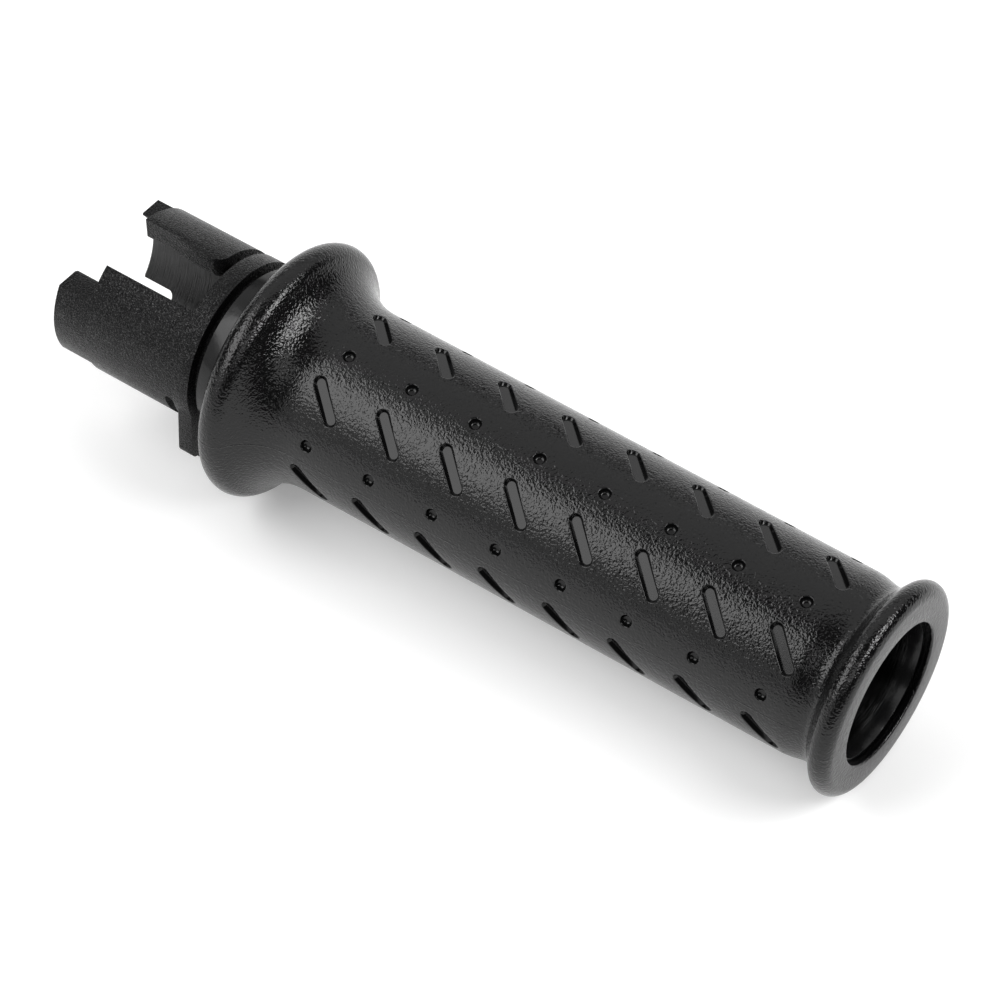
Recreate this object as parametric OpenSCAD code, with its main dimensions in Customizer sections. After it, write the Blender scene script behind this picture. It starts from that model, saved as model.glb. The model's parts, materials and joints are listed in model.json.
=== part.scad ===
// Motorcycle throttle grip: a moulded throttle tube with a two-arm drive fork, and the
// rubber grip moulded over it. The bore axis is X. The origin is on that axis, at the
// inboard face of the tube's ring, where the fork begins, and +X runs outboard along the
// handlebar. +Z is up, and the fork's two arms lie towards -Y and +Y.
// Angles round the bore are counted from +Z towards -Y.

/* [Handlebar bore] */
// Radius of the bore that turns on the handlebar
bore_r = 11.2; // [11.1:0.05:11.4]
// Length of the closed tube, from the ring to its outboard end
tube_len = 128.1; // [126:0.1:140]
// How much wider the bore gets, in radius, at its outboard end
mouth_flare = 0.7; // [0.3:0.1:1]
// Length over which the bore widens
mouth_flare_len = 4; // [1:0.5:8]

/* [Tube outside] */
// Radius of the ring at the root of the fork
ring_r = 15.2; // [14.8:0.1:15.6]
// Width of the ring along the bore
ring_w = 3.3; // [2.5:0.1:4]
// Width of the groove that the switch housing's rib runs in
groove_w = 1.3; // [1:0.1:1.6]
// Radius at the bottom of the groove
groove_r = 13.1; // [12.6:0.1:13.5]
// Radius of the smooth collar outboard of the groove
collar_r = 14.5; // [14:0.1:15]
// How far the collar runs on inside the rubber
collar_cover = 1.6; // [1:0.1:2.5]
// Radius of the sleeve under the rubber
sleeve_r = 13.3; // [13:0.1:13.6]
// Number of keying ribs along the sleeve
rib_count = 6; // [3:1:8]
// Width of each keying rib
rib_w = 1.6; // [1:0.1:2.2]
// Radius at the top of the keying ribs and of the end bead
rib_top_r = 14.1; // [13.8:0.1:14.3]

/* [Drive fork] */
// Outer radius of the two arms
arm_r = 15.15; // [14.5:0.05:15.2]
// Length of the full-width part of each arm
arm_len = 18.3; // [14:0.1:22]
// Outer radius of the narrow drive tongues
tongue_r = 14.95; // [14.2:0.05:15.1]
// Length of the drive tongues beyond the arms
tongue_len = 6.8; // [5:0.1:9]
// Width of the drive tongues
tongue_w = 14.4; // [12:0.1:16]
// Fillet where a tongue meets its arm
tongue_fillet = 1.2; // [0.6:0.1:1.6]
// Lead-in chamfer inside the tips
tip_chamfer = 0.3; // [0.2:0.1:1]
// Direction of the gap between the arms
gap_angle = 15; // [0:1:30]
// Distance from the gap's middle plane to the fixed edge of each arm
gap_fixed = 5.25; // [4.5:0.05:6]
// Distance from the gap's middle plane to the free edge of each arm, near the ring
gap_free = 5; // [4.5:0.05:6]
// Lean of the free edge's face, which narrows the gap inwards
free_lean = 11; // [0:1:15]
// Extra relief of the free edge, towards the tip
gap_relief = 0.6; // [0.2:0.1:0.9]
// Where that relief stops, measured from the ring
gap_relief_from = 11; // [8:0.5:13]
// Radius of the corner between an arm's free edge and the slit
free_corner = 2; // [1:0.1:3]
// Width of the slit that frees half of each arm from the ring
slit_w = 1.9; // [1.4:0.1:2.4]
// Angle from the gap's middle plane at which the slit ends
slit_end = 90; // [80:1:110]

/* [Stop lug] */
// Outer radius of the stop lug under the ring
lug_r = 20.6; // [18:0.1:21]
// Distance of the lug's stop face from the middle plane
lug_front = 14.2; // [12:0.1:14.6]
// Distance of the lug's back face beyond the middle plane
lug_back = 2; // [0:0.5:8]
// Thickness of the lug along the bore
lug_w = 2.8; // [2:0.1:3]
// Radius of the lug's lower corner
lug_corner = 1.8; // [0.5:0.1:3]

/* [Rubber grip] */
// Radius of the rubber body at the lip's end
grip_r = 16; // [15.7:0.1:17]
// How much larger that radius is at the flange's end
grip_taper = 0.2; // [0:0.05:0.4]
// Where the rubber starts, measured from the ring's inboard face
grip_start = 10.1; // [8:0.1:11]
// Thickness of the rubber over the tube's outboard end
end_cover = 1.5; // [1:0.1:2]
// Radius of the open mouth in the end face
mouth_r = 12.45; // [11.9:0.05:12.9]
// Largest radius of the inboard flange
flange_r = 22.95; // [21:0.05:25]
// Edge radius of the inboard flange
flange_edge = 2.95; // [2.5:0.05:4]
// Radius of the fillet between the flange and the body
flange_fillet = 11; // [9:0.5:14]
// Largest radius of the outboard lip
lip_r = 18.7; // [18:0.05:20]
// Edge radius of the outboard lip
lip_edge = 2.1; // [1.8:0.05:2.2]
// Fillet at the foot of the lip
lip_fillet = 2; // [1:0.5:3]
// Radius of the waist just inboard of the lip
neck_r = 15.4; // [15.1:0.05:15.6]
// Length over which the body narrows to the waist
neck_len = 4; // [3:0.5:6]

/* [Grip pattern] */
// Number of slots and dimples along the grip
station_count = 8; // [6:1:8]
// Distance between them along the grip
pitch = 12.45; // [11:0.05:12.45]
// Distance of the first slots from the ring's inboard face
first_slot = 28.5; // [27:0.1:30]
// Number of slot rows round the grip, with as many dimple rows between them
row_count = 6; // [4:1:6]
// Angle of the first slot row
row_angle = 45; // [0:1:59]
// Length of a slot from end to end
slot_len = 8.6; // [6:0.1:9]
// Width of a slot
slot_w = 2.1; // [1.6:0.1:2.6]
// Depth of a slot in its middle
slot_depth = 0.8; // [0.6:0.1:0.9]
// Slant of the slots from the direction of the bore
slot_slant = 47; // [30:1:60]
// Radius of a dimple at the surface
dimple_r = 1.1; // [0.7:0.1:1.4]
// Depth of a dimple
dimple_depth = 0.9; // [0.5:0.1:1]
// How far the dimples stand inboard of the slots
dimple_shift = 0.5; // [0:0.1:2]

/* [Hidden] */
$fn = 96;
over = 1;                                   // how far cutters run past a face
groove_start = ring_w;
collar_start = groove_start + groove_w;
collar_end = grip_start + collar_cover;
tip_len = arm_len + tongue_len;
end_face = tube_len + end_cover;
flange_at = grip_start + flange_edge;       // where the flange is widest
flange_c = flange_r - flange_edge;
body_start_r = grip_r + grip_taper;
// slope at which the flange's round edge runs over into the fillet
flange_slope = acos(1 - (flange_r - body_start_r) / (flange_edge + flange_fillet));
body_start = flange_at + (flange_edge + flange_fillet) * sin(flange_slope);
lip_flank = 37;                             // tilt of the lip's flank from the end face
lip_at = end_face - lip_edge;               // where the lip is widest
lip_c = lip_r - lip_edge;
lip_fillet_c = neck_r + lip_fillet;
neck_end = lip_at - (lip_edge + lip_fillet) / cos(lip_flank)
    - (lip_c - lip_fillet_c) * tan(lip_flank);  // where the lip's fillet starts
neck_start = neck_end - neck_len;           // where the body starts to narrow
bead_w = 3;                                 // anti-pull bead near the sleeve's end
bead_at = neck_start - bead_w;
rib_start = collar_end;
far = 3 * lug_r;                            // larger than the part, for cutters
arc_steps = 10;                             // steps of a rounded edge
ball_facets = 48;
tube_black = [0.09, 0.09, 0.095];
rubber_black = [0.05, 0.05, 0.053];

// Points of an arc round [x, r], from angle a to angle b
function arc(x, r, radius, a, b) =
    [for (i = [0:arc_steps])
        let (t = a + (b - a) * i / arc_steps) [x + radius * cos(t), r + radius * sin(t)]];

// Turns an outline of [position along the bore, radius] points about the bore
module turned(outline) {
    rotate([0, 90, 0]) rotate_extrude() polygon([for (p = outline) [p[1], p[0]]]);
}

// A round bar on the bore axis, from one position to another
module round_bar(radius, from, to) {
    translate([from, 0, 0]) rotate([0, 90, 0]) cylinder(r = radius, h = to - from);
}

// A cone on the bore axis that widens from r1 to r2
module cone(r1, r2, from, to) {
    translate([from, 0, 0]) rotate([0, 90, 0]) cylinder(r1 = r1, r2 = r2, h = to - from);
}

// ---------------------------------------------------------------- throttle tube

// The part of the tube that the rubber is moulded over
module sleeve_outside() {
    round_bar(collar_r, collar_start, collar_end);
    round_bar(sleeve_r, collar_end - over, tube_len);
    intersection() {
        for (i = [0:rib_count - 1])
            rotate([360 * i / rib_count, 0, 0])
                translate([rib_start - over, -rib_w / 2, 0])
                    cube([bead_at - rib_start + 2 * over, rib_w, rib_top_r]);
        round_bar(rib_top_r, rib_start - over, bead_at + over);
    }
    round_bar(rib_top_r, bead_at, bead_at + bead_w);
}

// The two arms before the gap and the slits are cut
module arm_barrel() {
    round_bar(arm_r, -arm_len, 0);
    intersection() {
        round_bar(tongue_r, -tip_len, 0);
        translate([-tip_len, -far / 2, -tongue_w / 2]) cube([tip_len, far, tongue_w]);
    }
    tongue_roots();
}

// Fillets in the corners between the tongues and the arms
module tongue_roots() {
    f = tongue_fillet;
    intersection() {
        round_bar(tongue_r, -arm_len - f, -arm_len + f);
        for (side = [0, 1])
            mirror([0, 0, side])
                difference() {
                    translate([-arm_len - f, -far / 2, 0])
                        cube([2 * f, far, tongue_w / 2 + f]);
                    translate([-arm_len - f, -far / 2 - over, tongue_w / 2 + f])
                        rotate([-90, 0, 0]) cylinder(r = f, h = far + 2 * over);
                }
    }
}

// Section of one half of the gap, with its free edge at the given distance from the middle
module gap_section(free) {
    lean = tan(free_lean);
    polygon([[-gap_fixed, 0], [free - arm_r * lean, 0],
        [free + (far / 2 - arm_r) * lean, far / 2], [-gap_fixed, far / 2]]);
}

// What a round corner takes off an arm where its free edge meets the slit
module corner_relief() {
    c = free_corner;
    translate([-slit_w, gap_free, arm_r]) rotate([-free_lean, 0, 0])
        translate([0, 0, -arm_r / 2])
            linear_extrude(arm_r)
                difference() {
                    translate([-c, -over]) square([c + over, c + over]);
                    translate([-c, c]) circle(r = c);
                }
}

// One half of the gap between the arms, with the slit that starts from it
module half_gap() {
    reach = tip_len + over;
    rotate([gap_angle, 0, 0]) {
        translate([-reach, 0, 0]) rotate([90, 0, 90]) {
            linear_extrude(reach) gap_section(gap_free);
            linear_extrude(reach - gap_relief_from) gap_section(gap_free + gap_relief);
        }
        corner_relief();
        slit();
    }
}

// The slit along the ring, with a round end
module slit() {
    intersection() {
        translate([-slit_w, 0, -far / 2]) cube([slit_w, far / 2, far]);
        rotate([0, -90, 0])
            linear_extrude(slit_w)
                polygon([[0, 0], [far, 0], [far, far], far * [cos(slit_end), sin(slit_end)]]);
    }
    rotate([-slit_end, 0, 0])
        translate([-slit_w / 2, 0, 0]) cylinder(d = slit_w, h = far / 2);
}

// The stop lug under the ring, with its flat stop face and rounded lower corner
module stop_lug() {
    corner_y = lug_front - lug_corner;
    corner_z = sqrt(pow(lug_r - lug_corner, 2) - pow(corner_y, 2));
    translate([ring_w - lug_w, 0, 0]) {
        intersection() {
            round_bar(lug_r, 0, lug_w);
            union() {
                translate([0, -corner_y, -lug_r]) cube([lug_w, corner_y + lug_back, lug_r]);
                translate([0, -lug_front, -corner_z])
                    cube([lug_w, lug_corner + over, corner_z]);
            }
        }
        translate([0, -corner_y, -corner_z]) rotate([0, 90, 0]) cylinder(r = lug_corner, h = lug_w);
    }
}

module throttle_tube() {
    color(tube_black)
    difference() {
        union() {
            arm_barrel();
            round_bar(ring_r, 0, ring_w);
            stop_lug();
            round_bar(groove_r, groove_start - over, collar_start + over);
            sleeve_outside();
        }
        round_bar(bore_r, -tip_len - over, tube_len + over);
        cone(bore_r, bore_r + mouth_flare * (1 + over / mouth_flare_len),
            tube_len - mouth_flare_len, tube_len + over);
        cone(bore_r + tip_chamfer + over, bore_r, -tip_len - over, -tip_len + tip_chamfer);
        half_gap();
        rotate([180, 0, 0]) half_gap();
    }
}

// ---------------------------------------------------------------- rubber grip

// Radius of the body, which tapers from the flange to the lip
function body_r(x) = grip_r + grip_taper * (neck_start - x) / (neck_start - body_start);

// Narrowing of the body from neck_start to neck_end
function neck() =
    [for (i = [0:arc_steps - 1])
        [neck_start + neck_len * i / arc_steps,
         (grip_r + neck_r) / 2 + (grip_r - neck_r) / 2 * cos(180 * i / arc_steps)]];

// Outside of the rubber: flange with a thick round edge, body, waist and end lip
module grip_outside() {
    turned(concat(
        [[grip_start, 0]],
        arc(flange_at, flange_c, flange_edge, 180, 90 - flange_slope),
        arc(body_start, body_start_r + flange_fillet, flange_fillet, 270 - flange_slope, 270),
        neck(),
        arc(neck_end, lip_fillet_c, lip_fillet, 270, 360 - lip_flank),
        arc(lip_at, lip_c, lip_edge, 180 - lip_flank, 0),
        [[end_face, 0]]));
}

// One slanted slot with round ends and a flat floor
module slot_cutter() {
    straight = slot_len - slot_w;
    high = slot_depth + over;
    rotate([0, 0, -slot_slant]) {
        translate([-straight / 2, -slot_w / 2, 0]) cube([straight, slot_w, high]);
        for (end = [-1, 1])
            translate([end * straight / 2, 0, 0]) cylinder(d = slot_w, h = high);
    }
}

// All the slots, sunk into the body in rows
module slots() {
    for (row = [0:row_count - 1], i = [0:station_count - 1]) {
        x = first_slot + i * pitch;
        rotate([row_angle + 360 * row / row_count, 0, 0])
            translate([x, 0, body_r(x) - slot_depth]) slot_cutter();
    }
}

// All the dimples, as round-bottomed hollows in the rows between the slots
module dimples() {
    ball_r = (dimple_r * dimple_r + dimple_depth * dimple_depth) / (2 * dimple_depth);
    for (row = [0:row_count - 1], i = [0:station_count - 1]) {
        x = first_slot - dimple_shift + i * pitch;
        rotate([row_angle + 360 * (row + 0.5) / row_count, 0, 0])
            translate([x, 0, body_r(x) - dimple_depth + ball_r])
                sphere(r = ball_r, $fn = ball_facets);
    }
}

module rubber_grip() {
    color(rubber_black)
    difference() {
        grip_outside();
        sleeve_outside();
        round_bar(mouth_r, tube_len - over, end_face + over);
        slots();
        dimples();
    }
}

throttle_tube();
rubber_grip();
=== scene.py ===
"""A throttle grip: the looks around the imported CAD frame. Lengths in the constants are in millimetres."""

import json
import math

import bmesh
import bpy
import numpy as np
from mathutils import Matrix, Vector


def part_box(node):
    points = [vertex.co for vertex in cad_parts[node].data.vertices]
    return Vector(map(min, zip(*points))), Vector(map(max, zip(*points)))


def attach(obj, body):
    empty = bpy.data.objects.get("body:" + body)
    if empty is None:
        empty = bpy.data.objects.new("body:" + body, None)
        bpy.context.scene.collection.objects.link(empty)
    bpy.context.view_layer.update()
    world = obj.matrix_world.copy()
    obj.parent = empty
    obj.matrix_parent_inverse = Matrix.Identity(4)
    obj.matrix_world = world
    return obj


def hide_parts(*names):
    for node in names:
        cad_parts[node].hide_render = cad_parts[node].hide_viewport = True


MM = 0.001

# Rubber grip, as in the CAD model
FLANGE_EDGE = 2.95  # edge radius of the inboard flange
FLANGE_FILLET = 11.0  # fillet between it and the body
BODY_START_R = 16.2  # radius of the body at the flange's end
GRIP_R = 16.0  # and at the lip's end
LIP_R = 18.7
LIP_EDGE = 2.1
LIP_FLANK = 37.0  # tilt of the lip's inboard flank from the end face, degrees
LIP_FILLET = 2.0
NECK_R = 15.4
NECK_W = 4.0  # length over which the body narrows to the neck
NECK_TO_LIP = 4.6
END_COVER = 1.5  # rubber over the tube's outboard end
HUB_EDGE = 0.3  # rounding of the flange's back hole
MOUTH_EDGE = 0.35  # and of the mouth
SLEEVE_R = 13.3
COLLAR_R = 14.5
COLLAR_COVER = 1.6
SEAM_GAP = 0.03  # keeps the rubber's hidden inside clear of the tube
TUBE_EDGE = 0.22  # rounding of the tube's moulded edges
TUBE_FLAT = 0.4  # facets that meet at less than this are joined, degrees
TUBE_SHARP = 28  # edges that turn by more than this are rounded, degrees

# Pattern
STATIONS = 8
PITCH = 12.45
FIRST_SLOT = 28.5
SLOT_ROWS = 6
FIRST_ROW = 45.0  # angle of the first slot row, degrees
SLOT_LEN = 8.6
SLOT_W = 2.2
SLOT_DEPTH = 0.8
SLOT_SLANT = 47.0
SLOT_EDGE = 0.15  # rounding at the top of the walls
SLOT_DRAFT = 0.27  # how far a wall leans in on its way down
SLOT_FOOT = 0.06  # fillet at the floor
SLOT_FLOOR_RINGS = (0.05, 0.35)  # mesh rings on the floor, from the fillet inwards
DIMPLE_R = 1.0
DIMPLE_DEPTH = 0.95
DIMPLE_EDGE = 0.16
DIMPLE_FLATNESS = 0.6  # 1 is a round bowl, less has steeper sides
DIMPLE_SHIFT = 0.5
CELL_ALONG = 18  # mesh steps of one pattern cell along the bore
CELL_ROUND = 12  # and round it
CELL_RINGS = (0.72, 0.46, 0.25, 0.1)  # mesh rings between a cell's rim and its slot or dimple, as shares
NEAR = 0.1  # places closer than this along the bore count as one
PARTING_ANGLE = 87.5  # plane of the rubber mould's parting line, degrees
PARTING_WIDTH = 0.12
END_GRAIN = 0.8  # share of the leather grain that the end face has

# Surfaces: scales are in features per metre, heights in millimetres, and shine is the specular level
GRAIN_CELLS = 2100
GRAIN_WRINKLES = 2200
GRAIN_CELL_SHARE = -0.55  # of the cells in the grain's height, against the wrinkles
GRAIN_HEIGHT = 0.075
FINE_GRAIN = 9000
FINE_HEIGHT = 0.05  # as a share of the grain's
PARTING_HEIGHT = 0.6  # as a share of the grain's
RUBBER_PATCHES = 140
RUBBER_ROUGHNESS = (0.1, 0.17)
RUBBER_SHINE = (0.38, 0.5)  # in the slots and dimples, and outside them
RUBBER_BLACK = (0.004, 0.004, 0.0042, 1)
ERODED_GRAIN = 2800
PITS = 4300
PIT_EDGE = (0.48, 0.68)  # noise values at which a pit starts and is full
PIT_SHINE = (0.15, 0.6)  # between the pits and in them
TUBE_PATCHES = 220
ERODED_ROUGHNESS = (0.24, 0.34)
COLLAR_WAVES = 900
COLLAR_HEIGHT = 0.15  # as a share of the tube's grain
COLLAR_ROUGHNESS = (0.18, 0.28)
COLLAR_SHINE = 0.4
TOOL_MARKS = 4500
TOOL_MARK_STRETCH = 0.04  # scale of the marks round the bore, against that along it
TOOL_MARK_HEIGHT = 0.8  # as a share of the tube's grain
BORE_ROUGHNESS = 0.4
# specular level in the sleeve's bore, lowered as painted shade
SLEEVE_SHADE_SHINE = 0.08
TUBE_GRAIN_HEIGHT = 0.2
TUBE_BLACK = (0.006, 0.006, 0.0063, 1)
# the sleeve's darker colour is painted shade in its bore
SLEEVE_PAINTED_SHADE = (0.002, 0.002, 0.002, 1)
BORE_TO_SKIN = (11.3, 11.6)  # radii between which the bore's finish gives way to the outside's
RING_TO_COLLAR = (3.9, 4.5)  # places along the bore where the eroded finish gives way to the collar's
FORK_TO_SHADED_SLEEVE = (2, 12)  # and where the light inside the fork gives way to the painted shade of the sleeve's bore

# Camera and floor
CAMERA_AT = (305.88, -385.86, 484.73)
CAMERA_RIGHT = (0.81559, 0.57736, 0.0383)
CAMERA_UP = (-0.44241, 0.57955, 0.68439)
LENS = 148.95
SENSOR = 36.0
FLOOR_NORMAL = (-0.0346, -0.0199, 0.9992)
FLOOR_SIZE = 6.0  # metres
FLOOR_GREY = (0.8, 0.8, 0.8, 1)

# Light: soft boxes round the grip in a dark room, as (name, azimuth from +X, elevation, width,
# height in degrees, radiance), and the glow of the floor
ROOM = 0.06
FLOOR_GLOW = 0.28
CONTRAST = 1.12  # of the picture's tones
SOFTBOX_AT = 0.7  # metres from LIT_POINT
LIT_POINT = (50, 0, 0)
SOFTBOXES = (
    ("key", -133, 43, 44, 36, 3.95),
    ("strip", 10, 46, 38, 18, 9.0),
    ("front", -52, 44, 34, 26, 1.5),
    ("top", 125, 62, 100, 56, 0.85),
    ("side", -115, 13, 54, 27, 0.85),
    ("back", 118, 10, 100, 30, 1.1),
)

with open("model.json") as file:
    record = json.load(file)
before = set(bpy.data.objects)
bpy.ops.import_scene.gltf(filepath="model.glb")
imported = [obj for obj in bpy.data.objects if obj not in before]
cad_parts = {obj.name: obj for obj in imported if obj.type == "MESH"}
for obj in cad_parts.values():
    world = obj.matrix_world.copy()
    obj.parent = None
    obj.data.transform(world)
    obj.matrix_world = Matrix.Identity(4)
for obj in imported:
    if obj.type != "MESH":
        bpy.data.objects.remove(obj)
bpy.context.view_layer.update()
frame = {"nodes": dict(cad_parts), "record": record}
grip_low, grip_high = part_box("rubber_grip")
GRIP_START, END_FACE = grip_low.x / MM, grip_high.x / MM
FLANGE_R = grip_high.z / MM
TUBE_END = END_FACE - END_COVER
MOUTH_R = next(m["dims"]["r_mm"] for m in frame["record"]["mounts"] if m["name"] == "bar_end_mouth")


# ---------------------------------------------------------------- outline of the rubber


def arc(x, r, radius, start, end, steps):
    """Points of an arc round (x, r), from angle start to angle end in degrees."""
    turn = np.radians(np.linspace(start, end, steps + 1))
    return [(x + radius * math.cos(t), r + radius * math.sin(t)) for t in turn]


def flange_outline():
    """From the back face to the start of the body, as (x, r)."""
    flange_at = GRIP_START + FLANGE_EDGE
    reach = FLANGE_EDGE + FLANGE_FILLET
    slope = math.acos(1 - (FLANGE_R - BODY_START_R) / reach)
    tilt = math.degrees(slope)
    edge = arc(flange_at, FLANGE_R - FLANGE_EDGE, FLANGE_EDGE, 180, 90 - tilt, 22)
    body_start = flange_at + reach * math.sin(slope)
    fillet = arc(body_start, BODY_START_R + FLANGE_FILLET, FLANGE_FILLET, 270 - tilt, 270, 18)
    return edge, fillet[1:]


def lip_outline():
    """From the foot of the lip's flank to the end face, as (x, r)."""
    lip_at = END_FACE - LIP_EDGE
    lip_c = LIP_R - LIP_EDGE
    foot_c = NECK_R + LIP_FILLET
    flank = math.radians(LIP_FLANK)
    foot_at = lip_at - (LIP_EDGE + LIP_FILLET) / math.cos(flank) - (lip_c - foot_c) * math.tan(flank)
    foot = arc(foot_at, foot_c, LIP_FILLET, 270, 360 - LIP_FLANK, 8)
    edge = arc(lip_at, lip_c, LIP_EDGE, 180 - LIP_FLANK, 0, 18)
    return foot, edge


def neck_outline():
    """The narrowing of the body before the lip, as (x, r)."""
    end = END_FACE - LIP_EDGE - NECK_TO_LIP
    steps = np.linspace(0, 1, 13)
    mean, swing = (GRIP_R + NECK_R) / 2, (GRIP_R - NECK_R) / 2
    return [(end - NECK_W + NECK_W * s, mean + swing * math.cos(math.pi * s)) for s in steps]


FLANGE_ARC, FILLET_ARC = flange_outline()
FOOT_ARC, LIP_ARC = lip_outline()
NECK = neck_outline()
OUTLINE = np.array(FLANGE_ARC + FILLET_ARC + NECK + FOOT_ARC + LIP_ARC)
CELLS_START = FIRST_SLOT - PITCH / 2
CELLS_END = FIRST_SLOT + (STATIONS - 0.5) * PITCH


def body_radius(x):
    """Radius of the rubber between the flange and the lip."""
    inside = OUTLINE[len(FLANGE_ARC) : -len(LIP_ARC)]
    return np.interp(x, inside[:, 0], inside[:, 1])


# ---------------------------------------------------------------- meshes


def on_grip(x, angle, radius):
    """Point in metres at x along the bore, angle in degrees from +Z towards -Y."""
    a = math.radians(angle)
    return Vector((x, -radius * math.sin(a), radius * math.cos(a))) * MM


def nearest_on_segment(point, half):
    """Nearest point to point on the segment from (-half, 0) to (half, 0)."""
    return np.array([min(max(point[0], -half), half), 0.0])


def rounded_top(edge, turns):
    """(distance inwards, depth) over the rounded top of a wall, at turns in degrees."""
    return [(-edge * (1 - math.sin(t)), edge * (1 - math.cos(t))) for t in np.radians(turns)]


def slot_section():
    """(distance inwards from the wall's top, depth) across a slot's wall."""
    top = rounded_top(SLOT_EDGE, [0, 24, 46, 68, 88])
    foot_at = SLOT_DRAFT + SLOT_FOOT
    foot = [
        (foot_at - SLOT_FOOT * math.cos(t), SLOT_DEPTH - SLOT_FOOT * (1 - math.sin(t)))
        for t in np.radians([10, 45, 85])
    ]
    return top + foot + [(foot_at + ring, SLOT_DEPTH) for ring in SLOT_FLOOR_RINGS]


def dimple_section():
    """(distance inwards from the rim, depth) down a dimple with steep sides and a nearly flat bottom."""
    top = rounded_top(DIMPLE_EDGE, [0, 35, 70])
    deep = DIMPLE_DEPTH - DIMPLE_EDGE
    bowl = [
        (DIMPLE_R * (1 - math.cos(t) ** DIMPLE_FLATNESS), DIMPLE_EDGE + deep * math.sin(t))
        for t in np.radians([10, 25, 42, 58, 72, 83])
    ]
    return top + bowl


def cell_rim():
    """Offsets of a cell's rim points from its centre: along the bore in mm, and round it in degrees."""
    half_x, half_a = PITCH / 2, 90 / SLOT_ROWS
    xs = np.linspace(-half_x, half_x, CELL_ALONG + 1)
    turns = np.linspace(-half_a, half_a, CELL_ROUND + 1)
    rim = [(x, -half_a) for x in xs[:-1]]
    rim += [(half_x, a) for a in turns[:-1]]
    rim += [(x, half_a) for x in xs[:0:-1]]
    rim += [(-half_x, a) for a in turns[:0:-1]]
    return rim


class Grid:
    """A bmesh whose vertices at the same place are shared, with a grain weight on each vertex."""

    def __init__(self):
        self.bm = bmesh.new()
        self.grain = self.bm.verts.layers.float.new("grain")
        self.found = {}

    def vert(self, co, grain=1.0):
        key = tuple(round(c * 1e7) for c in co)
        if key not in self.found:
            self.found[key] = self.bm.verts.new(co)
            self.found[key][self.grain] = grain
        return self.found[key]

    def bridge(self, one, other):
        """Faces between two closed rings of the same number of vertices."""
        for i in range(len(one)):
            j = (i + 1) % len(one)
            self.bm.faces.new((one[i], one[j], other[j], other[i]))


def slot_share(x_at, x, turn):
    """Depth of the flat floor of the slot at x_at, at x and turn degrees round, as a share."""
    floor = (body_radius(x_at) - SLOT_DEPTH) / math.cos(math.radians(turn))
    return (body_radius(x) - floor) / SLOT_DEPTH


def pattern_cell(grid, x_at, angle_at, half, width, slant, shift, section, bottom):
    """One cell of the grip's pattern: a slot, or with half 0 a dimple, sunk into the surface."""
    degree = math.radians(1) * GRIP_R  # length of one degree round the grip
    turn = math.radians(slant)
    along = np.array([math.cos(turn), math.sin(turn)])
    across = np.array([-math.sin(turn), math.cos(turn)])
    rim, rings = [], [[] for _ in range(len(CELL_RINGS) + len(section))]
    for dx, da in cell_rim():
        flat = np.array([dx + shift, da * degree])
        local = np.array([flat @ along, flat @ across])
        core = nearest_on_segment(local, half)
        outward = local - core
        reach = np.linalg.norm(outward)
        outward /= reach
        rim.append(grid.vert(on_grip(x_at + dx, angle_at + da, body_radius(x_at + dx))))
        gap = reach - width / 2 + section[0][0]
        steps = [(section[0][0] - gap * share, 0.0) for share in CELL_RINGS]
        for ring, (inwards, depth) in zip(rings, steps + section):
            p = core + outward * (width / 2 - inwards)
            q = p[0] * along + p[1] * across
            x = x_at + q[0] - shift
            grain = 1.0 if depth == 0 else 0.0
            if bottom is None:
                depth *= slot_share(x_at, x, q[1] / degree)
            ring.append(grid.vert(on_grip(x, angle_at + q[1] / degree, body_radius(x) - depth), grain))
    last = rim
    for ring in rings:
        grid.bridge(last, ring)
        last = ring
    fill_floor(grid, last, bottom)


def fill_floor(grid, ring, centre):
    """Closes a cell's floor: a fan to a middle vertex for a dimple, or triangles across a slot."""
    if centre is not None:
        middle = grid.vert(centre, 0.0)
        for i in range(len(ring)):
            grid.bm.faces.new((ring[i], ring[(i + 1) % len(ring)], middle))
        return
    face = grid.bm.faces.new(ring)
    bmesh.ops.triangulate(grid.bm, faces=[face], ngon_method="BEAUTY")


def revolve(grid, outline, segments, first_angle):
    """Rings of vertices along an outline of (x, r) points, joined in order."""
    rings = []
    for x, r in outline:
        angles = [first_angle + 360 * i / segments for i in range(segments)]
        grain = END_GRAIN if x > END_FACE - NEAR else 1.0
        rings.append([grid.vert(on_grip(x, a, r), grain) for a in angles])
    for one, other in zip(rings, rings[1:]):
        grid.bridge(one, other)


def finish_mesh(name, grid, material):
    """A smooth-shaded object of that name from the grid."""
    bmesh.ops.recalc_face_normals(grid.bm, faces=grid.bm.faces)
    mesh = bpy.data.meshes.new(name)
    grid.bm.to_mesh(mesh)
    grid.bm.free()
    mesh.materials.append(material)
    piece = bpy.data.objects.new(name, mesh)
    bpy.context.scene.collection.objects.link(piece)
    mesh.polygons.foreach_set("use_smooth", [True] * len(mesh.polygons))
    return piece


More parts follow.
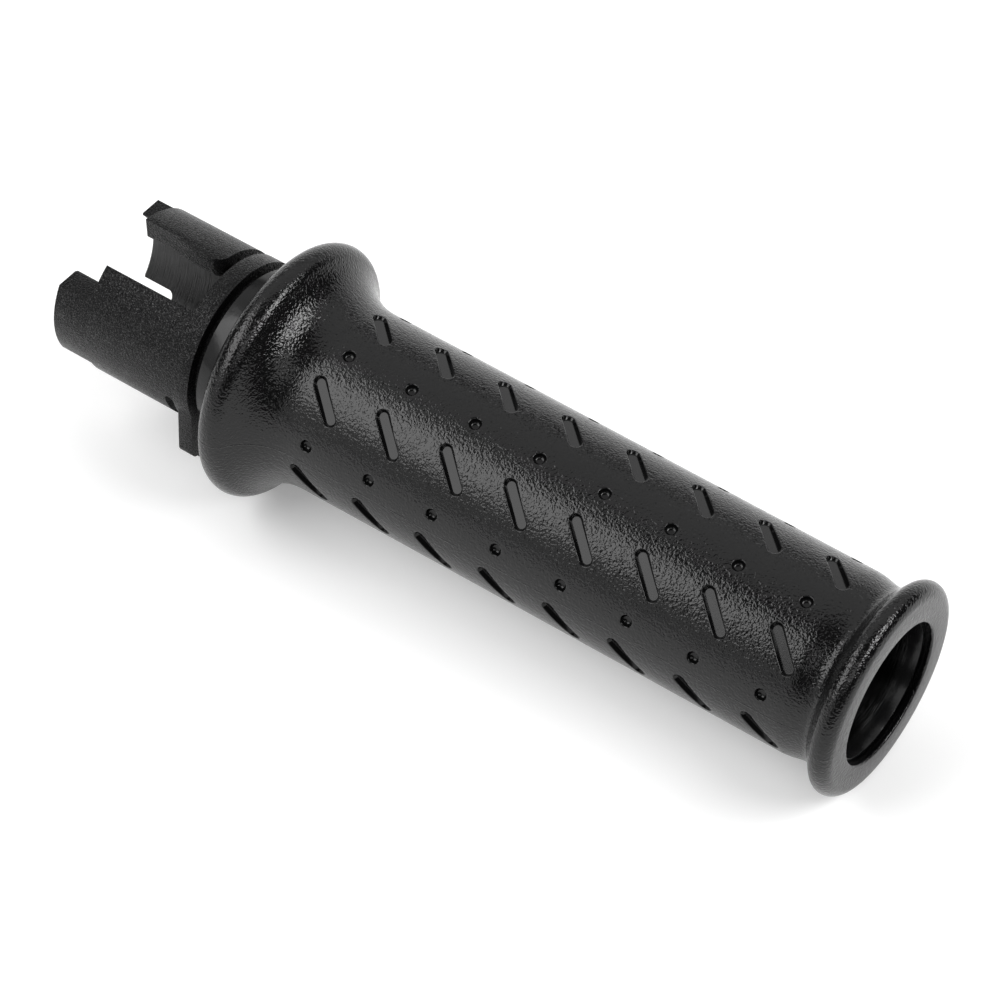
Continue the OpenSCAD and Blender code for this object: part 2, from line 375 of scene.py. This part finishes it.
def make_rubber(material):
    """The rubber grip: patterned body, flange, lip, end face and the inside that holds the tube."""
    grid = Grid()
    round_steps = 2 * SLOT_ROWS * CELL_ROUND
    first = FIRST_ROW - 90 / SLOT_ROWS
    for row in range(2 * SLOT_ROWS):
        angle = FIRST_ROW + 180 * row / SLOT_ROWS
        for i in range(STATIONS):
            x = FIRST_SLOT + i * PITCH
            if row % 2 == 0:
                half = (SLOT_LEN - SLOT_W) / 2
                pattern_cell(grid, x, angle, half, SLOT_W, SLOT_SLANT, 0.0, slot_section(), None)
            else:
                at = x - DIMPLE_SHIFT
                bottom = on_grip(at, angle, body_radius(at) - DIMPLE_DEPTH)
                pattern_cell(grid, x, angle, 0.0, 2 * DIMPLE_R, 0.0, DIMPLE_SHIFT, dimple_section(), bottom)
    hub = COLLAR_R + SEAM_GAP
    hub_edge = arc(GRIP_START + HUB_EDGE, hub + HUB_EDGE, HUB_EDGE, 270, 180, 4)
    fillet = [p for p in FILLET_ARC if p[0] < CELLS_START - NEAR]
    flange = hub_edge + FLANGE_ARC + fillet + [(CELLS_START, body_radius(CELLS_START))]
    revolve(grid, flange, round_steps, first)
    neck = [p for p in NECK if p[0] > CELLS_END + NEAR]
    mouth_edge = arc(END_FACE - MOUTH_EDGE, MOUTH_R + MOUTH_EDGE, MOUTH_EDGE, 0, -90, 5)
    face_mid = (END_FACE, (LIP_ARC[-1][1] + mouth_edge[0][1]) / 2)
    hold = SLEEVE_R + SEAM_GAP
    inside = [(TUBE_END, MOUTH_R), (TUBE_END, hold), (GRIP_START + COLLAR_COVER, hold)]
    inside += [(GRIP_START + COLLAR_COVER, hub), (GRIP_START + HUB_EDGE, hub)]
    outer = [(CELLS_END, body_radius(CELLS_END))] + neck + FOOT_ARC + LIP_ARC + [face_mid] + mouth_edge
    revolve(grid, outer + inside, round_steps, first)
    return finish_mesh("grip_rubber", grid, material)


def make_tube(material):
    """The throttle tube: the CAD node's own shape with its moulded edges rounded."""
    bm = bmesh.new()
    bm.from_mesh(frame["nodes"]["throttle_tube"].data)
    bmesh.ops.remove_doubles(bm, verts=bm.verts, dist=1e-6)
    bmesh.ops.dissolve_limit(bm, angle_limit=math.radians(TUBE_FLAT), verts=bm.verts, edges=bm.edges)
    mesh = bpy.data.meshes.new("tube_moulding")
    bm.to_mesh(mesh)
    bm.free()
    mesh.materials.clear()
    mesh.materials.append(material)
    piece = bpy.data.objects.new("tube_moulding", mesh)
    bpy.context.scene.collection.objects.link(piece)
    mesh.polygons.foreach_set("use_smooth", [True] * len(mesh.polygons))
    bevel = piece.modifiers.new("edges", "BEVEL")
    bevel.width = TUBE_EDGE * MM
    bevel.segments = 3
    bevel.limit_method = "ANGLE"
    bevel.angle_limit = math.radians(TUBE_SHARP)
    bevel.harden_normals = True
    return piece


# ---------------------------------------------------------------- materials


def new_material(name):
    """A node material, with its nodes, its links and its shader."""
    material = bpy.data.materials.new(name)
    material.use_nodes = True
    nodes, links = material.node_tree.nodes, material.node_tree.links
    return material, nodes, links, nodes["Principled BSDF"]


def math_node(nodes, links, operation, *values, clamp=False):
    """A math node fed with sockets or numbers; returns its output."""
    node = nodes.new("ShaderNodeMath")
    node.operation = operation
    node.use_clamp = clamp
    for socket, value in zip(node.inputs, values):
        if isinstance(value, bpy.types.NodeSocket):
            links.new(value, socket)
        else:
            socket.default_value = value
    return node.outputs[0]


def noise(nodes, links, vector, scale, detail=2.0, roughness=0.5, distortion=0.0):
    """A noise texture; returns its output from 0 to 1."""
    node = nodes.new("ShaderNodeTexNoise")
    node.inputs["Scale"].default_value = scale
    node.inputs["Detail"].default_value = detail
    node.inputs["Roughness"].default_value = roughness
    node.inputs["Distortion"].default_value = distortion
    links.new(vector, node.inputs["Vector"])
    return node.outputs["Fac"]


def bumped(nodes, links, shader, height, distance):
    """Turns the shader's normal by a height, which is in units of distance."""
    bump = nodes.new("ShaderNodeBump")
    bump.inputs["Strength"].default_value = 1.0
    bump.inputs["Distance"].default_value = distance
    links.new(height, bump.inputs["Height"])
    links.new(bump.outputs["Normal"], shader.inputs["Normal"])


def ranged(nodes, links, value, low, high):
    """Maps 0..1 to low..high."""
    node = nodes.new("ShaderNodeMapRange")
    node.inputs["To Min"].default_value = low
    node.inputs["To Max"].default_value = high
    links.new(value, node.inputs["Value"])
    return node.outputs["Result"]


def parting_line(nodes, links, place):
    """1 on the mould's parting line, which runs along the grip on both sides, and 0 off it."""
    split = nodes.new("ShaderNodeSeparateXYZ")
    links.new(place, split.inputs[0])
    turn = math.radians(PARTING_ANGLE)
    along_y = math_node(nodes, links, "MULTIPLY", split.outputs["Y"], math.cos(turn) / MM)
    off = math_node(nodes, links, "MULTIPLY_ADD", split.outputs["Z"], math.sin(turn) / MM, along_y)
    near = math_node(nodes, links, "DIVIDE", math_node(nodes, links, "ABSOLUTE", off), PARTING_WIDTH)
    return math_node(nodes, links, "SUBTRACT", 1.0, near, clamp=True)


def rubber_material():
    """Black rubber with a wrinkled leather grain, smooth inside the slots and dimples."""
    material, nodes, links, shader = new_material("grip_rubber")
    place = nodes.new("ShaderNodeTexCoord").outputs["Object"]
    weight = nodes.new("ShaderNodeAttribute")
    weight.attribute_name = "grain"
    cells = nodes.new("ShaderNodeTexVoronoi")
    cells.feature = "SMOOTH_F1"
    cells.inputs["Scale"].default_value = GRAIN_CELLS
    cells.inputs["Smoothness"].default_value = 0.35
    links.new(place, cells.inputs["Vector"])
    wrinkle = noise(nodes, links, place, GRAIN_WRINKLES, 0.3, 0.5, 1.0)
    grain = math_node(nodes, links, "MULTIPLY_ADD", cells.outputs["Distance"], GRAIN_CELL_SHARE, wrinkle)
    fine = noise(nodes, links, place, FINE_GRAIN, 1.0)
    outer = math_node(nodes, links, "MULTIPLY", grain, weight.outputs["Fac"])
    height = math_node(nodes, links, "MULTIPLY_ADD", fine, FINE_HEIGHT, outer)
    seam = parting_line(nodes, links, place)
    height = math_node(nodes, links, "MULTIPLY_ADD", seam, PARTING_HEIGHT, height)
    bumped(nodes, links, shader, height, GRAIN_HEIGHT * MM)
    patches = noise(nodes, links, place, RUBBER_PATCHES, 3.0, 0.6)
    links.new(ranged(nodes, links, patches, *RUBBER_ROUGHNESS), shader.inputs["Roughness"])
    shader.inputs["Base Color"].default_value = RUBBER_BLACK
    shine = ranged(nodes, links, weight.outputs["Fac"], *RUBBER_SHINE)
    links.new(shine, shader.inputs["Specular IOR Level"])
    return material


def along_and_radius(nodes, links, place):
    """Position along the bore and distance from it, in millimetres."""
    split = nodes.new("ShaderNodeSeparateXYZ")
    links.new(place, split.inputs[0])
    y_squared = math_node(nodes, links, "MULTIPLY", split.outputs["Y"], split.outputs["Y"])
    squares = math_node(nodes, links, "MULTIPLY_ADD", split.outputs["Z"], split.outputs["Z"], y_squared)
    radius = math_node(nodes, links, "SQRT", squares)
    return [math_node(nodes, links, "DIVIDE", value, MM) for value in (split.outputs["X"], radius)]


def step_up(nodes, links, value, low, high):
    """A smooth step from 0 at low to 1 at high."""
    node = nodes.new("ShaderNodeMapRange")
    node.interpolation_type = "SMOOTHSTEP"
    node.inputs["From Min"].default_value = low
    node.inputs["From Max"].default_value = high
    links.new(value, node.inputs["Value"])
    return node.outputs["Result"]


def mixed(nodes, links, share, low, high):
    """low where share is 0, high where it is 1; low and high are sockets or numbers."""
    span = math_node(nodes, links, "SUBTRACT", high, low)
    return math_node(nodes, links, "MULTIPLY_ADD", share, span, low)


def tool_marks(nodes, links, place):
    """Fine lines round the bore, left by the turned core of the mould."""
    squeeze = nodes.new("ShaderNodeMapping")
    squeeze.inputs["Scale"].default_value = (1, TOOL_MARK_STRETCH, TOOL_MARK_STRETCH)
    links.new(place, squeeze.inputs["Vector"])
    return noise(nodes, links, squeeze.outputs["Vector"], TOOL_MARKS, 2.0, 0.6)


def tube_material():
    """Black plastic: spark-eroded on fork, ring and lug, smooth on the collar, turned in the bore; the
    sleeve's bore has painted shade, a darker colour and less shine.
    """
    material, nodes, links, shader = new_material("tube_plastic")
    place = nodes.new("ShaderNodeTexCoord").outputs["Object"]
    along, radius = along_and_radius(nodes, links, place)
    outside = step_up(nodes, links, radius, *BORE_TO_SKIN)
    collar = step_up(nodes, links, along, *RING_TO_COLLAR)
    inside = math_node(nodes, links, "SUBTRACT", 1.0, outside)
    # painted shade: the sleeve's bore gets a darker colour and less shine
    sleeve_bore_shade = math_node(nodes, links, "MULTIPLY", step_up(nodes, links, along, *FORK_TO_SHADED_SLEEVE), inside)
    eroded = noise(nodes, links, place, ERODED_GRAIN, 1.0, 0.6, 0.6)
    pits = step_up(nodes, links, noise(nodes, links, place, PITS, 1.0, 0.6), *PIT_EDGE)
    waves = math_node(nodes, links, "MULTIPLY", noise(nodes, links, place, COLLAR_WAVES), COLLAR_HEIGHT)
    skin = mixed(nodes, links, collar, eroded, waves)
    marks = math_node(nodes, links, "MULTIPLY", tool_marks(nodes, links, place), TOOL_MARK_HEIGHT)
    bumped(nodes, links, shader, mixed(nodes, links, outside, marks, skin), TUBE_GRAIN_HEIGHT * MM)
    patches = noise(nodes, links, place, TUBE_PATCHES, 3.0, 0.6)
    rough = mixed(nodes, links, outside, BORE_ROUGHNESS, ranged(nodes, links, patches, *ERODED_ROUGHNESS))
    sleek = ranged(nodes, links, patches, *COLLAR_ROUGHNESS)
    links.new(mixed(nodes, links, collar, rough, sleek), shader.inputs["Roughness"])
    pits = math_node(nodes, links, "MAXIMUM", pits, inside)
    shine = mixed(nodes, links, collar, mixed(nodes, links, pits, *PIT_SHINE), COLLAR_SHINE)
    links.new(mixed(nodes, links, sleeve_bore_shade, shine, SLEEVE_SHADE_SHINE), shader.inputs["Specular IOR Level"])
    # base colour, with painted shade in the sleeve's bore
    shade = nodes.new("ShaderNodeMix")
    shade.data_type = "RGBA"
    shade.inputs[6].default_value = TUBE_BLACK
    shade.inputs[7].default_value = SLEEVE_PAINTED_SHADE
    links.new(sleeve_bore_shade, shade.inputs[0])
    links.new(shade.outputs[2], shader.inputs["Base Color"])
    return material


def floor_material():
    """Pale matt paper that glows a little, so that it stays white round the grip."""
    material, nodes, links, shader = new_material("floor")
    shader.inputs["Base Color"].default_value = FLOOR_GREY
    shader.inputs["Roughness"].default_value = 0.8
    shader.inputs["Emission Color"].default_value = (1, 1, 1, 1)
    shader.inputs["Emission Strength"].default_value = FLOOR_GLOW
    return material


# ---------------------------------------------------------------- studio


def look(right, up):
    """Rotation of a camera with those right and up directions."""
    r = Vector(right).normalized()
    back = r.cross(Vector(up)).normalized()
    return Matrix((r, back.cross(r), back)).transposed().to_4x4()


def make_camera():
    camera = bpy.data.cameras.new("camera")
    camera.lens = LENS
    camera.sensor_width = SENSOR
    camera.clip_end = 20
    holder = bpy.data.objects.new("camera", camera)
    holder.matrix_world = Matrix.Translation(Vector(CAMERA_AT) * MM) @ look(CAMERA_RIGHT, CAMERA_UP)
    bpy.context.scene.collection.objects.link(holder)
    bpy.context.scene.camera = holder


def make_floor():
    """A large pale plane that touches the flange and the lip."""
    normal = Vector(FLOOR_NORMAL).normalized()
    across = math.hypot(normal.y, normal.z)
    under_flange = normal.x * (GRIP_START + FLANGE_EDGE) - FLANGE_R * across
    under_lip = normal.x * (END_FACE - LIP_EDGE) - LIP_R * across
    place = Matrix.Translation(normal * min(under_flange, under_lip) * MM)
    bpy.ops.mesh.primitive_plane_add(size=FLOOR_SIZE)
    floor = bpy.context.object
    floor.name = "floor"
    floor.matrix_world = place @ normal.to_track_quat("Z", "Y").to_matrix().to_4x4()
    floor.data.materials.append(floor_material())


def make_softbox(name, azimuth, elevation, wide, high, radiance):
    """A soft box round the grip's middle: its direction and its angular size in degrees."""
    az, el = math.radians(azimuth), math.radians(elevation)
    towards = Vector((math.cos(az) * math.cos(el), math.sin(az) * math.cos(el), math.sin(el)))
    lamp = bpy.data.lights.new(name, "AREA")
    lamp.shape = "RECTANGLE"
    lamp.size = 2 * SOFTBOX_AT * math.tan(math.radians(wide / 2))
    lamp.size_y = 2 * SOFTBOX_AT * math.tan(math.radians(high / 2))
    lamp.energy = radiance * lamp.size * lamp.size_y * math.pi
    holder = bpy.data.objects.new(name, lamp)
    turn = towards.to_track_quat("Z", "Y").to_matrix().to_4x4()
    holder.matrix_world = Matrix.Translation(Vector(LIT_POINT) * MM + towards * SOFTBOX_AT) @ turn
    bpy.context.scene.collection.objects.link(holder)


def make_world():
    """A dark room, so that the soft boxes alone shape the reflections."""
    world = bpy.data.worlds.new("studio")
    world.use_nodes = True
    background = world.node_tree.nodes["Background"]
    background.inputs["Color"].default_value = (1, 1, 1, 1)
    background.inputs["Strength"].default_value = ROOM
    bpy.context.scene.world = world


make_camera()
make_floor()
make_world()
for box in SOFTBOXES:
    make_softbox(*box)
bpy.context.scene.view_settings.view_transform = "Standard"
bpy.context.scene.view_settings.gamma = 1 / CONTRAST

rubber = make_rubber(rubber_material())
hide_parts("rubber_grip")
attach(rubber, "root")

tube = make_tube(tube_material())
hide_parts("throttle_tube")
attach(tube, "root")
